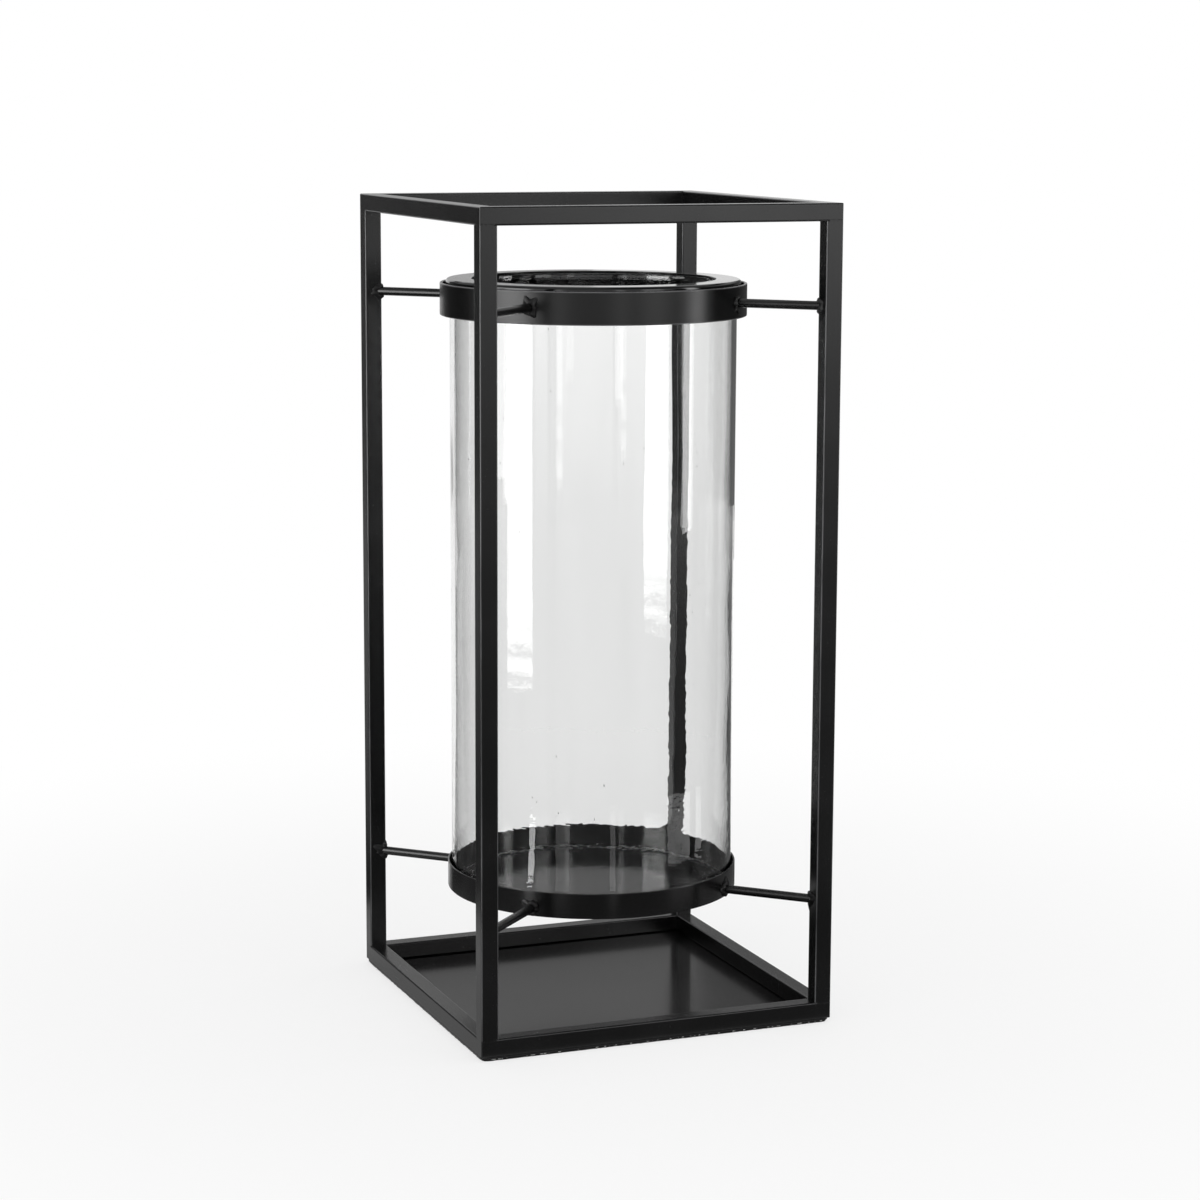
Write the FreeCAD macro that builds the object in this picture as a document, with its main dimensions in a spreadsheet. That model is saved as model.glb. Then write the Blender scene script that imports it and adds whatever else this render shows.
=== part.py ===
import FreeCAD, Part
import math
import os
import Sketcher
from FreeCAD import Placement, Rotation, Vector

# Candle lantern: an open square frame of welded tube that carries a tall glass cylinder.
# The glass stands in a shallow tray near the bottom, passes up through a ring near the
# top, and is held upright there by a loose collar that caps its rim.
# Millimetres, +Z up, origin on the floor under the centre of the frame, front towards -Y.

document = FreeCAD.newDocument("candle_lantern")
sheet = document.addObject("Spreadsheet::Sheet", "Sizes")

# Driving dimensions: alias and value
driving_sizes = [
    # Frame of square tube
    ("overall_height", 558.8),
    ("frame_width", 254),
    ("tube_side", 12),
    ("tube_wall", 1.2),
    ("tube_corner", 1.2),
    # Sheet and felt under the bottom rails
    ("plate_thickness", 1.2),
    ("plate_inset", 0.4),
    ("plate_corner", 5),
    ("felt_thickness", 1.6),
    ("felt_inset", 0.6),
    # Round rods that hold the ring and the tray in the frame
    ("rod_diameter", 6),
    # Ring of flat bar at the top of the glass
    ("ring_side_gap", 9.8),
    ("ring_wall", 2),
    ("ring_height", 22),
    ("ring_drop", 57),
    ("ring_ease", 0.6),
    # Loose collar that caps the glass inside the ring
    ("ring_clearance", 2.2),
    ("collar_sheet", 2),
    ("collar_shoulder", 3),
    ("collar_flange", 17.4),
    ("collar_skirt", 13),
    ("collar_rise", 2.8),
    # Glass cylinder, open at both ends
    ("collar_clearance", 0.8),
    ("glass_wall", 3.2),
    ("glass_rim_ease", 1),
    # Tray that the glass and the candle stand in
    ("tray_lift", 77.3),
    ("tray_clearance", 1.7),
    ("tray_wall", 1.2),
    ("tray_height", 17.4),
    ("tray_floor_thickness", 1.2),
    ("tray_rod_rise", 5.5),
]
for row, (alias, size) in enumerate(driving_sizes, start=1):
    sheet.set(f"A{row}", alias)
    sheet.set(f"B{row}", str(size))
    sheet.setAlias(f"B{row}", alias)
document.recompute()

# Sizes worked out from the driving ones, from the frame inwards
tube_centre = "((Sizes.frame_width - Sizes.tube_side) / 2)"
opening_half = "(Sizes.frame_width / 2 - Sizes.tube_side)"
ring_outer = f"({opening_half} - Sizes.ring_side_gap)"
ring_inner = f"({ring_outer} - Sizes.ring_wall)"
collar_outer = f"({ring_inner} - Sizes.ring_clearance)"
collar_hole = f"({collar_outer} - Sizes.collar_flange)"
glass_outer = f"({collar_outer} - Sizes.collar_sheet - Sizes.collar_clearance)"
glass_inner = f"({glass_outer} - Sizes.glass_wall)"
tray_inner = f"({glass_outer} + Sizes.tray_clearance)"
tray_outer = f"({tray_inner} + Sizes.tray_wall)"

# Levels above the floor
rail_bottom = "(Sizes.felt_thickness + Sizes.plate_thickness)"
post_bottom = f"({rail_bottom} + Sizes.tube_side)"
post_top = "(Sizes.overall_height - Sizes.tube_side)"
ring_top = "(Sizes.overall_height - Sizes.ring_drop)"
ring_bottom = f"({ring_top} - Sizes.ring_height)"
ring_rod_level = f"({ring_top} - Sizes.ring_height / 2)"
collar_top = f"({ring_top} + Sizes.collar_rise)"
collar_seat = f"({collar_top} - Sizes.collar_sheet)"
tray_bottom = f"({rail_bottom} + Sizes.tray_lift)"
tray_seat = f"({tray_bottom} + Sizes.tray_floor_thickness)"
tray_rod_level = f"({tray_bottom} + Sizes.tray_rod_rise)"

# Turns in degrees about the upright axis from the front left corner and from the front side
corner_turns = {"front_left": 0, "front_right": 90, "back_right": 180, "back_left": 270}
side_turns = {"front": 0, "right": 90, "back": 180, "left": 270}
front_left_direction = 225

# Slack when edges are told apart by their radius
edge_tolerance = 0.01


def measure(expression):
    return float(sheet.evalExpression(expression))


def new_body(label, turn=0, level="0"):
    body = document.addObject("PartDesign::Body", label)
    body.Label = label
    body.Placement = Placement(Vector(0, 0, 0), Rotation(Vector(0, 0, 1), turn))
    body.setExpression("Placement.Base.z", level)
    return body


def origin_plane(body, role):
    return next(feature for feature in body.Origin.OriginFeatures if feature.Role == role)


def new_sketch(body, name, role, offsets=None):
    sketch = body.newObject("Sketcher::SketchObject", f"{body.Name}_{name}")
    sketch.AttachmentSupport = [(origin_plane(body, role), "")]
    sketch.MapMode = "FlatFace"
    for axis, expression in (offsets or {}).items():
        sketch.setExpression(f"AttachmentOffset.Base.{axis}", expression)
    return sketch


def bind(sketch, constraint, name, expression):
    index = sketch.addConstraint(constraint)
    sketch.renameConstraint(index, name)
    sketch.setExpression(f"Constraints.{name}", expression)


def add_polygon(sketch, corners, closed=True):
    # Straight outline whose corners are given as pairs of expressions
    points = [Vector(measure(across), measure(up), 0) for across, up in corners]
    first = sketch.GeometryCount
    count = len(points)
    lines = count if closed else count - 1
    for index in range(lines):
        sketch.addGeometry(Part.LineSegment(points[index], points[(index + 1) % count]))
    for index in range(count if closed else count - 2):
        following = first + (index + 1) % count
        sketch.addConstraint(Sketcher.Constraint("Coincident", first + index, 2, following, 1))
    for index, (across, up) in enumerate(corners):
        line, end = (first + index, 1) if index < lines else (first + index - 1, 2)
        x_limit = Sketcher.Constraint("DistanceX", -1, 1, line, end, points[index].x)
        y_limit = Sketcher.Constraint("DistanceY", -1, 1, line, end, points[index].y)
        bind(sketch, x_limit, f"x{first + index}", across)
        bind(sketch, y_limit, f"y{first + index}", up)
    return first


def add_square(sketch, half):
    add_polygon(sketch, [(f"-{half}", f"-{half}"), (half, f"-{half}"), (half, half), (f"-{half}", half)])


def add_circle(sketch, radius, name):
    circle = sketch.addGeometry(Part.Circle(Vector(0, 0, 0), Vector(0, 0, 1), measure(radius)))
    sketch.addConstraint(Sketcher.Constraint("Coincident", circle, 3, -1, 1))
    bind(sketch, Sketcher.Constraint("Radius", circle, measure(radius)), name, radius)


def add_corner_waste(sketch, half, radius):
    # What lies outside the round of a square's right front corner
    near = f"({half} - {radius})"
    far = f"({half} + {radius})"
    corners = [(near, f"-{half}"), (near, f"-{far}"), (far, f"-{far}"), (far, f"-{near}"), (half, f"-{near}")]
    first = add_polygon(sketch, corners, closed=False)
    last = first + len(corners) - 2
    centre = Vector(measure(near), -measure(near), 0)
    circle = Part.Circle(centre, Vector(0, 0, 1), measure(radius))
    arc = sketch.addGeometry(Part.ArcOfCircle(circle, math.radians(270), math.radians(360)))
    sketch.addConstraint(Sketcher.Constraint("Coincident", arc, 1, first, 1))
    sketch.addConstraint(Sketcher.Constraint("Coincident", arc, 2, last, 2))
    bind(sketch, Sketcher.Constraint("Radius", arc, measure(radius)), "round", radius)


def pad(body, sketch, length, name="pad", symmetric=False):
    feature = body.newObject("PartDesign::Pad", f"{body.Name}_{name}")
    feature.Profile = sketch
    feature.SideType = "Symmetric" if symmetric else "One side"
    feature.setExpression("Length", length)
    document.recompute()
    return feature


def pocket_through(body, sketch, reach, name):
    # Cut that reaches the same distance to both sides of its sketch
    before = body.Shape.Volume
    feature = body.newObject("PartDesign::Pocket", f"{body.Name}_{name}")
    feature.Profile = sketch
    feature.SideType = "Symmetric"
    feature.setExpression("Length", reach)
    document.recompute()
    if not body.Shape.Volume < before:
        raise RuntimeError(f"{body.Label}: {name} cut nothing")
    return feature


def revolve(body, sketch):
    feature = body.newObject("PartDesign::Revolution", f"{body.Name}_turned")
    feature.Profile = sketch
    feature.ReferenceAxis = (sketch, ["V_Axis"])
    feature.Angle = 360
    document.recompute()
    return feature


def chosen_edges(base, test):
    # Names of the edges of the base that pass the test, which is given the edge and its middle point
    names = []
    for number, edge in enumerate(base.Shape.Edges, start=1):
        middle = edge.valueAt((edge.FirstParameter + edge.LastParameter) / 2)
        if test(edge, middle):
            names.append(f"Edge{number}")
    if not names:
        raise RuntimeError(f"{base.Label}: no edge passes the test")
    return names


def fillet(body, base, radius, test, name="rounded"):
    feature = body.newObject("PartDesign::Fillet", f"{body.Name}_{name}")
    feature.Base = (base, chosen_edges(base, test))
    feature.setExpression("Radius", radius)
    document.recompute()
    return feature


def chamfer(body, base, size, test, name="eased"):
    feature = body.newObject("PartDesign::Chamfer", f"{body.Name}_{name}")
    feature.Base = (base, chosen_edges(base, test))
    feature.setExpression("Size", size)
    document.recompute()
    return feature


def runs_along(edge, axis):
    # Straight edge parallel to the axis
    if not isinstance(edge.Curve, (Part.Line, Part.LineSegment)):
        return False
    return abs(edge.tangentAt(edge.FirstParameter).dot(axis)) > 0.999


def circles_outside(edge, limit):
    # Circular edge that is wider than the limit
    return isinstance(edge.Curve, Part.Circle) and edge.Curve.Radius > measure(limit) + edge_tolerance


def add_tube_section(sketch):
    add_square(sketch, "(Sizes.tube_side / 2)")
    add_square(sketch, "(Sizes.tube_side / 2 - Sizes.tube_wall)")


def round_tube(body, base, axis, centre):
    # Rounds the four long outer edges, those past the middle of the tube wall
    outer_reach = measure("Sizes.tube_side / 2 - Sizes.tube_wall / 2")

    def outer_long_edge(edge, middle):
        away = middle - centre
        spread = away - axis * away.dot(axis)
        return runs_along(edge, axis) and max(abs(spread.x), abs(spread.y), abs(spread.z)) > outer_reach

    return fillet(body, base, "Sizes.tube_corner", outer_long_edge)


def make_post(corner, turn):
    # Upright tube between the two square frames, drawn at the front left corner
    body = new_body(f"post_{corner}", turn, post_bottom)
    section = new_sketch(body, "section", "XY_Plane", {"x": f"-{tube_centre}", "y": f"-{tube_centre}"})
    add_tube_section(section)
    tube = pad(body, section, f"{post_top} - {post_bottom}")
    centre = Vector(-measure(tube_centre), -measure(tube_centre), 0)
    round_tube(body, tube, Vector(0, 0, 1), centre)
    return body


def make_rail(label, turn, level):
    # Level tube with mitred ends, drawn along the front side
    body = new_body(label, turn, level)
    section = new_sketch(body, "section", "YZ_Plane", {"x": f"-{tube_centre}"})
    add_tube_section(section)
    tube = pad(body, section, "Sizes.frame_width", symmetric=True)
    rounded = round_tube(body, tube, Vector(1, 0, 0), Vector(0, -measure(tube_centre), 0))

    # The mitre line leaves the outer corner at 45 degrees, so both its coordinates match
    outside = "(Sizes.frame_width / 2 + Sizes.tube_side)"
    inside = "(Sizes.frame_width / 2 - 2 * Sizes.tube_side)"
    wedge = new_sketch(body, "wedge", "XY_Plane")
    add_polygon(wedge, [(inside, f"-{inside}"), (outside, f"-{outside}"), (outside, f"-{inside}")])
    mitre = pocket_through(body, wedge, "2 * Sizes.tube_side", "mitre")

    # The upright corner of the welded frame is dressed to the same round as the tube's edges
    corner = new_sketch(body, "corner", "XY_Plane")
    add_corner_waste(corner, "(Sizes.frame_width / 2)", "Sizes.tube_corner")
    dressing = pocket_through(body, corner, "2 * Sizes.tube_side", "dressing")

    other_end = body.newObject("PartDesign::Mirrored", f"{body.Name}_other_end")
    other_end.Originals = [mitre, dressing]
    other_end.MirrorPlane = (origin_plane(body, "YZ_Plane"), [""])
    body.Tip = other_end
    document.recompute()
    if rounded.Shape.Volume - body.Shape.Volume < 1.9 * (rounded.Shape.Volume - dressing.Shape.Volume):
        raise RuntimeError(f"{label}: the second end was not cut")
    return body


def make_rod(label, turn, level, seat_radius):
    # Round rod on a corner diagonal: a saddle at its inner end fits the ring or tray,
    # and a notch at its outer end fits the inner edge of the post
    body = new_body(label, turn + front_left_direction, level)
    notch = f"({opening_half} * sqrt(2))"
    section = new_sketch(body, "section", "YZ_Plane", {"z": f"{seat_radius} - Sizes.rod_diameter"})
    add_circle(section, "Sizes.rod_diameter / 2", "round")
    pad(body, section, f"{notch} - {seat_radius} + 2 * Sizes.rod_diameter")

    saddle = new_sketch(body, "saddle", "XY_Plane")
    add_circle(saddle, seat_radius, "seat")
    pocket_through(body, saddle, "2 * Sizes.rod_diameter", "saddle_cut")

    reach = "(2 * Sizes.rod_diameter)"
    corner = new_sketch(body, "corner", "XY_Plane", {"x": notch})
    add_polygon(corner, [("0", "0"), (reach, f"-{reach}"), (reach, reach)])
    pocket_through(body, corner, "2 * Sizes.rod_diameter", "corner_cut")
    return body


def make_sheet_layer(label, level, thickness, inset):
    # Flat square layer under the frame with rounded corners
    body = new_body(label, 0, level)
    outline = new_sketch(body, "outline", "XY_Plane")
    add_square(outline, f"(Sizes.frame_width / 2 - {inset})")
    layer = pad(body, outline, thickness)
    fillet(body, layer, "Sizes.plate_corner", lambda edge, middle: runs_along(edge, Vector(0, 0, 1)))
    return body


def make_turned_tube(label, level, inner, outer, height, ease=None):
    # Upright ring, with the two edges of its outer face eased where a size is given
    body = new_body(label, 0, level)
    section = new_sketch(body, "section", "XZ_Plane")
    add_polygon(section, [(inner, "0"), (outer, "0"), (outer, height), (inner, height)])
    turned = revolve(body, section)
    if ease:
        chamfer(body, turned, ease, lambda edge, middle: circles_outside(edge, inner))
    return body


def make_tray_floor():
    body = new_body("tray_floor", 0, tray_bottom)
    outline = new_sketch(body, "outline", "XY_Plane")
    add_circle(outline, tray_inner, "round")
    pad(body, outline, "Sizes.tray_floor_thickness")
    return body


def make_collar():
    # Pressed ring: a flat flange on the glass rim, turned down into a skirt outside the glass.
    # Its own zero level is the seat on the rim.
    body = new_body("retaining_collar", 0, collar_seat)
    skirt_inner = f"({collar_outer} - Sizes.collar_sheet)"
    section = new_sketch(body, "section", "XZ_Plane")
    add_polygon(section, [
        (collar_hole, "0"),
        (skirt_inner, "0"),
        (skirt_inner, "-Sizes.collar_skirt"),
        (collar_outer, "-Sizes.collar_skirt"),
        (collar_outer, "Sizes.collar_sheet"),
        (collar_hole, "Sizes.collar_sheet"),
    ])
    turned = revolve(body, section)

    def shoulder_edge(edge, middle):
        return circles_outside(edge, skirt_inner) and middle.z > 0

    fillet(body, turned, "min(Sizes.collar_shoulder; 2 * Sizes.collar_sheet)", shoulder_edge)
    return body


parts = []
for corner, turn in corner_turns.items():
    parts.append(make_post(corner, turn))
for side, turn in side_turns.items():
    parts.append(make_rail(f"top_rail_{side}", turn, f"{post_top} + Sizes.tube_side / 2"))
    parts.append(make_rail(f"bottom_rail_{side}", turn, f"{rail_bottom} + Sizes.tube_side / 2"))
for corner, turn in corner_turns.items():
    parts.append(make_rod(f"upper_rod_{corner}", turn, ring_rod_level, ring_outer))
    parts.append(make_rod(f"lower_rod_{corner}", turn, tray_rod_level, tray_outer))

felt_edge = "(Sizes.plate_inset + Sizes.felt_inset)"
parts.append(make_sheet_layer("base_felt", "0", "Sizes.felt_thickness", felt_edge))
plate_level = "Sizes.felt_thickness"
parts.append(make_sheet_layer("base_plate", plate_level, "Sizes.plate_thickness", "Sizes.plate_inset"))

ring_height = "Sizes.ring_height"
ring_ease = "min(Sizes.ring_ease; 0.4 * Sizes.ring_wall)"
parts.append(make_turned_tube("upper_ring", ring_bottom, ring_inner, ring_outer, ring_height, ring_ease))
parts.append(make_turned_tube("tray_rim", tray_bottom, tray_inner, tray_outer, "Sizes.tray_height"))
parts.append(make_tray_floor())
glass_height = f"({collar_seat} - {tray_seat})"
glass_ease = "min(Sizes.glass_rim_ease; 0.4 * Sizes.glass_wall)"
glass = make_turned_tube("glass_cylinder", tray_seat, glass_inner, glass_outer, glass_height, glass_ease)
parts.append(glass)
parts.append(make_collar())
document.recompute()

# Nothing is written unless every object and every shape is sound
for item in document.Objects:
    if "Invalid" in item.State or "Error" in item.State:
        raise RuntimeError(f"{item.Label} failed: {item.State}")
for part in parts:
    if part.Shape.isNull() or not part.Shape.isValid() or len(part.Shape.Solids) != 1:
        raise RuntimeError(f"{part.Label} is not one sound solid")

os.makedirs("parts", exist_ok=True)
for part in parts:
    part.Shape.exportStep(os.path.join("parts", f"{part.Label}.step"))
    print(part.Label, round(part.Shape.Volume, 1))
print(len(parts), "parts")
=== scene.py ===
import math
import random

import bmesh
import bpy
import numpy as np
from mathutils import Matrix, Vector


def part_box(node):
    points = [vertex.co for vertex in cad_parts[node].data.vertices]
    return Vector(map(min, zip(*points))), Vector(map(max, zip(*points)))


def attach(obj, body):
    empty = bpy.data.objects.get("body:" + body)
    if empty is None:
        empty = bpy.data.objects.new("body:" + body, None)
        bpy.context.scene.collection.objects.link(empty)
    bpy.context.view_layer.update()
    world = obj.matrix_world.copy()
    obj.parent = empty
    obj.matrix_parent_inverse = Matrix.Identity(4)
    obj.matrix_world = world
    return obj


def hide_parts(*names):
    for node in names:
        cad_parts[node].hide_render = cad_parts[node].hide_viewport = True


# Candle lantern of welded black tube: wavy glass chimney in a tray, capped by a loose collar
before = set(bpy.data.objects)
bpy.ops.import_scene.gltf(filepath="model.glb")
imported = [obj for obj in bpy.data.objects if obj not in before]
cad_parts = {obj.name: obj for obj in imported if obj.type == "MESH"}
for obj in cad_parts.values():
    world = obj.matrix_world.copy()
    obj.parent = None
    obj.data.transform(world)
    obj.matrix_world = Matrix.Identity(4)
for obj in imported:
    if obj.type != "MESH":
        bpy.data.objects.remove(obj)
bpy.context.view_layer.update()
print("frame loaded,", len(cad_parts), "nodes")

cornerAngles = {"back_right": 45, "back_left": 135, "front_left": 225, "front_right": 315}  # degrees
sides = ("front", "right", "back", "left")


# Shader maths

class Wire:  # one socket of a node tree; arithmetic on it adds Math nodes
    def __init__(self, socket):
        self.socket = socket
        self.tree = socket.id_data

    def maths(self, operation, first, second):
        made = self.tree.nodes.new("ShaderNodeMath")
        made.operation = operation
        feed(made.inputs[0], first)
        feed(made.inputs[1], second)
        return Wire(made.outputs[0])

    def __add__(self, other):
        return self.maths("ADD", self, other)

    def __sub__(self, other):
        return self.maths("SUBTRACT", self, other)

    def __rsub__(self, other):
        return self.maths("SUBTRACT", other, self)

    def __mul__(self, other):
        return self.maths("MULTIPLY", self, other)

    def __truediv__(self, other):
        return self.maths("DIVIDE", self, other)

    def __pow__(self, other):
        return self.maths("POWER", self, other)

    def __or__(self, other):  # the larger of two
        return self.maths("MAXIMUM", self, other)

    def __and__(self, other):  # the smaller of two
        return self.maths("MINIMUM", self, other)

    __radd__ = __add__


def feed(slot, value):
    if isinstance(value, Wire):
        slot.id_data.links.new(value.socket, slot)
    else:
        slot.default_value = value


class Finish:  # node tree of one material or of the world
    def __init__(self, owner):
        owner.use_nodes = True
        self.owner = owner
        self.tree = owner.node_tree
        self.tree.nodes.clear()

    def node(self, kind, settings=None, sockets=None, out=0):
        made = self.tree.nodes.new("ShaderNode" + kind)
        for name, value in (settings or {}).items():
            if name == "stops":
                while len(made.color_ramp.elements) < len(value):
                    made.color_ramp.elements.new(1.0)
                for stop, (place, shade) in zip(made.color_ramp.elements, value):
                    stop.position = place
                    stop.color = (shade, shade, shade, 1)
            else:
                setattr(made, name, value)
        for name, value in (sockets or {}).items():
            feed(made.inputs[name], value)
        return None if out is None else Wire(made.outputs[out])

    def noise(self, where, scale, detail=2.0, stretch=None):
        if stretch:
            where = self.node("Mapping", None, {"Vector": where, "Scale": stretch})
        return self.node("TexNoise", None, {"Vector": where, "Scale": scale, "Detail": detail})

    def mask(self, value, low, high):  # 0 under low, 1 over high, for limits from 0 to 1
        return self.node("ValToRGB", {"stops": [(low, 0), (high, 1)]}, {"Fac": value})

    def fall(self, value, low, high):  # 1 under low, 0 over high, eased
        return self.node("MapRange", {"interpolation_type": "SMOOTHSTEP"}, {
            "Value": value, "From Min": low, "From Max": high, "To Min": 1.0, "To Max": 0.0,
        })

    def blend(self, mask, first, second):  # the colour sockets of a Mix node are 6 and 7
        return self.node("Mix", {"data_type": "RGBA"}, {0: mask, 6: first, 7: second}, out=2)

    def close(self, surface, volume=None):
        kind = "OutputMaterial" if isinstance(self.owner, bpy.types.Material) else "OutputWorld"
        ends = {"Surface": surface}
        if volume:
            ends["Volume"] = volume
        self.node(kind, None, ends, out=None)
        return self.owner


# Mesh helpers

millimetres = 1000  # in a metre
leastSwell = 0.4  # weakest swell of a wandering surface, as a share of the strongest
wanderTurns = range(2, 9)  # swells round a turned piece
flatFrom = 1.4  # the flat between two eased corners begins this many eases from each
flatMost = 0.45  # or at this share of the side, where that is nearer


def meshPiece(name, points, faces, sharpAngle=50):
    mesh = bpy.data.meshes.new(name)
    mesh.from_pydata([tuple(point) for point in points], [], faces)
    mesh.validate()
    mesh.shade_smooth()
    mesh.set_sharp_from_angle(angle=math.radians(sharpAngle))
    piece = bpy.data.objects.new(name, mesh)
    bpy.context.scene.collection.objects.link(piece)
    return piece


def quads(rows, columns, first=0, closedRows=True):
    # faces of a grid of points whose columns close on themselves
    faces = []
    for row in range(rows if closedRows else rows - 1):
        below = first + row * columns
        above = first + (row + 1) % rows * columns
        for column in range(columns):
            after = (column + 1) % columns
            faces.append((below + column, below + after, above + after, above + column))
    return faces


def easedOutline(corners, steps=5):
    # closed outline of (radius, height, ease), outer wall upwards; each corner becomes an arc
    outline = []
    for index, (radius, height, ease) in enumerate(corners):
        here = Vector((radius, height))
        before = Vector(corners[index - 1][:2]) - here
        after = Vector(corners[(index + 1) % len(corners)][:2]) - here
        back, on = before.normalized() * ease, after.normalized() * ease
        outline.append(here + before * min(flatFrom * ease / before.length, flatMost))
        for step in range(steps + 1):
            turn = math.pi / 2 * step / steps
            outline.append(here + back * (1 - math.sin(turn)) + on * (1 - math.cos(turn)))
        outline.append(here + after * min(flatFrom * ease / after.length, flatMost))
    return outline


def lathe(name, outline, columns, unevenness, seed):
    # turned piece with a slow hand-made wander in its radius, inwards only
    wander = random.Random(seed)
    waves = []
    for turns in wanderTurns:
        waves.append((turns, wander.uniform(0, math.tau), wander.uniform(leastSwell, 1) / turns))
    points = []
    for radius, height in outline:
        for column in range(columns):
            angle = math.tau * column / columns
            swing = sum(size * math.cos(turns * angle + phase) for turns, phase, size in waves)
            reach = radius - unevenness * (1 + swing) / 2
            points.append((reach * math.cos(angle), reach * math.sin(angle), height))
    return meshPiece(name, points, quads(len(outline), columns))


def radii(node, below=1.0):
    # least and greatest distance from the upright axis of a node's points, up to a level
    found = [v.co.xy.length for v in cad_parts[node].data.vertices if v.co.z <= below]
    return min(found), max(found)


def dress(piece, body, slot, finish, *nodes):
    # a new piece takes its place, its finish and the nodes it stands for
    piece.data.materials.append(finish)
    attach(piece, body)
    if nodes:
        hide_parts(*nodes)


def paintNode(node, finish):
    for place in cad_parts[node].material_slots:
        place.material = finish


# Finishes

paintLook = {
    "black": (0.0024, 0.0025, 0.0026, 1),  # satin powder coat
    "rubbed": (0.0052, 0.0052, 0.0055, 1),  # polished by handling
    "rubbedWhere": (0.42, 0.72),  # range of the smear that is rubbed
    "edge": (0.16, 0.16, 0.165, 1),  # coat worn thin along the edges of the tube, plus a painted highlight there
    "edgeWearAndHighlightWhere": (0.18, 0.55),  # range of the smear where edges wear and carry the painted highlight
    "edgeWearAndHighlightWidth": (0.25, 0.95),  # millimetres from the edge
    "edgeGloss": 0.06,
    "roughness": 0.25,
    "roughnessSpread": 0.10,
    "ior": 1.5,
    "smearPerMetre": 26,
    "peelPerMetre": 950,  # orange peel of the coat
    "peelDepth": 0.000010,
    "peelStrength": 0.6,
    "gritFiner": 3.2,  # than the peel
    "gritShare": 0.25,
    "lint": 0.06,  # dust caught in the coat
    "lintColour": (0.12, 0.12, 0.115, 1),
    "lintPerMetre": 900,
    "lintWhere": (0.80, 0.83),
    "lintRoughness": 0.3,
    "seamWidth": (0.25, 0.75),  # millimetres from the mitre
    "seamHeight": 6,  # times the orange peel
}


def satinPaint(name, look=None, edges=None, seam=None):
    look = {**paintLook, **(look or {})}
    finish = Finish(bpy.data.materials.new(name))
    where = finish.node("TexCoord", out="Object")
    smear = finish.noise(where, look["smearPerMetre"], detail=4.0)
    rubbed = finish.mask(smear, *look["rubbedWhere"])
    peel = finish.noise(where, look["peelPerMetre"], detail=1.5)
    grit = finish.noise(where, look["peelPerMetre"] * look["gritFiner"], detail=1.0)
    flecks = finish.noise(where, look["lintPerMetre"], detail=0.0)
    speck = finish.mask(flecks, *look["lintWhere"]) * look["lint"]
    colour = finish.blend(rubbed, look["black"], look["rubbed"])
    colour = finish.blend(speck, colour, look["lintColour"])
    uneven = (smear - 0.5) * look["roughnessSpread"]
    roughness = look["roughness"] + uneven + speck * look["lintRoughness"]
    height = peel + grit * look["gritShare"]
    if edges:
        # lighter edges: partly the coat worn thin, partly a painted highlight standing in for the light
        # the rounded edges catch
        inward = finish.mask(edges(finish, where), *look["edgeWearAndHighlightWidth"])
        wearAndHighlight = (1 - inward) * finish.mask(smear, *look["edgeWearAndHighlightWhere"])
        colour = finish.blend(wearAndHighlight, colour, look["edge"])
        roughness = roughness - wearAndHighlight * look["edgeGloss"]
    if seam:
        height = height + seam(finish, where) * look["seamHeight"]
    bump = finish.node("Bump", None, {
        "Strength": look["peelStrength"], "Distance": look["peelDepth"], "Height": height,
    })
    return finish.close(finish.node("BsdfPrincipled", None, {
        "Base Color": colour, "Roughness": roughness, "Normal": bump, "IOR": look["ior"],
    }))


def frameSides():
    # planes that the faces of the square tubes lie on, across and upright
    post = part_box("post_back_right")
    across = (post[0].x, post[1].x)
    upright = [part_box(f"{row}_rail_front")[end].z for row in ("bottom", "top") for end in (0, 1)]
    return across, upright


def planeGap(place, planes):
    # distance along one axis to the nearest of some places
    gaps = [place.maths("ABSOLUTE", place - plane, 0.0) for plane in planes]
    nearest = gaps[0]
    for gap in gaps[1:]:
        nearest = nearest & gap
    return nearest


def tubeEdges(run):
    # millimetres to the long edges of the tubes that run one way, or to the upright corners of the frame
    across, upright = frameSides()

    def away(finish, where):
        place = finish.node("VectorMath", {"operation": "ABSOLUTE"}, {0: where})
        split = finish.node("SeparateXYZ", None, {0: place}).socket.node.outputs
        gaps = [
            planeGap(Wire(split[axis]), planes)
            for axis, planes in (("X", across), ("Y", across), ("Z", upright)) if axis != run
        ]
        corner = planeGap(Wire(split["X"]), across[1:]) | planeGap(Wire(split["Y"]), across[1:])
        return ((gaps[0] | gaps[1]) & corner) * millimetres

    return away


def bandEdges(node):
    # millimetres to the outer edges of a round band
    low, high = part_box(node)
    outer = radii(node)[1]

    def away(finish, where):
        split = finish.node("SeparateXYZ", None, {0: where}).socket.node.outputs
        across, along, level = (Wire(split[axis]) for axis in "XYZ")
        reach = (across * across + along * along) ** 0.5
        return (planeGap(reach, [outer]) | planeGap(level, [low.z, high.z])) * millimetres

    return away


def mitreSeam(finish, where):
    # dressed weld along the diagonal of each corner of the square frames
    place = finish.node("VectorMath", {"operation": "ABSOLUTE"}, {0: where})
    split = finish.node("SeparateXYZ", None, {0: place}).socket.node.outputs
    across, along = Wire(split["X"]), Wire(split["Y"])
    away = planeGap(across, [along]) * millimetres
    return 1 - finish.mask(away, *paintLook["seamWidth"])


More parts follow.
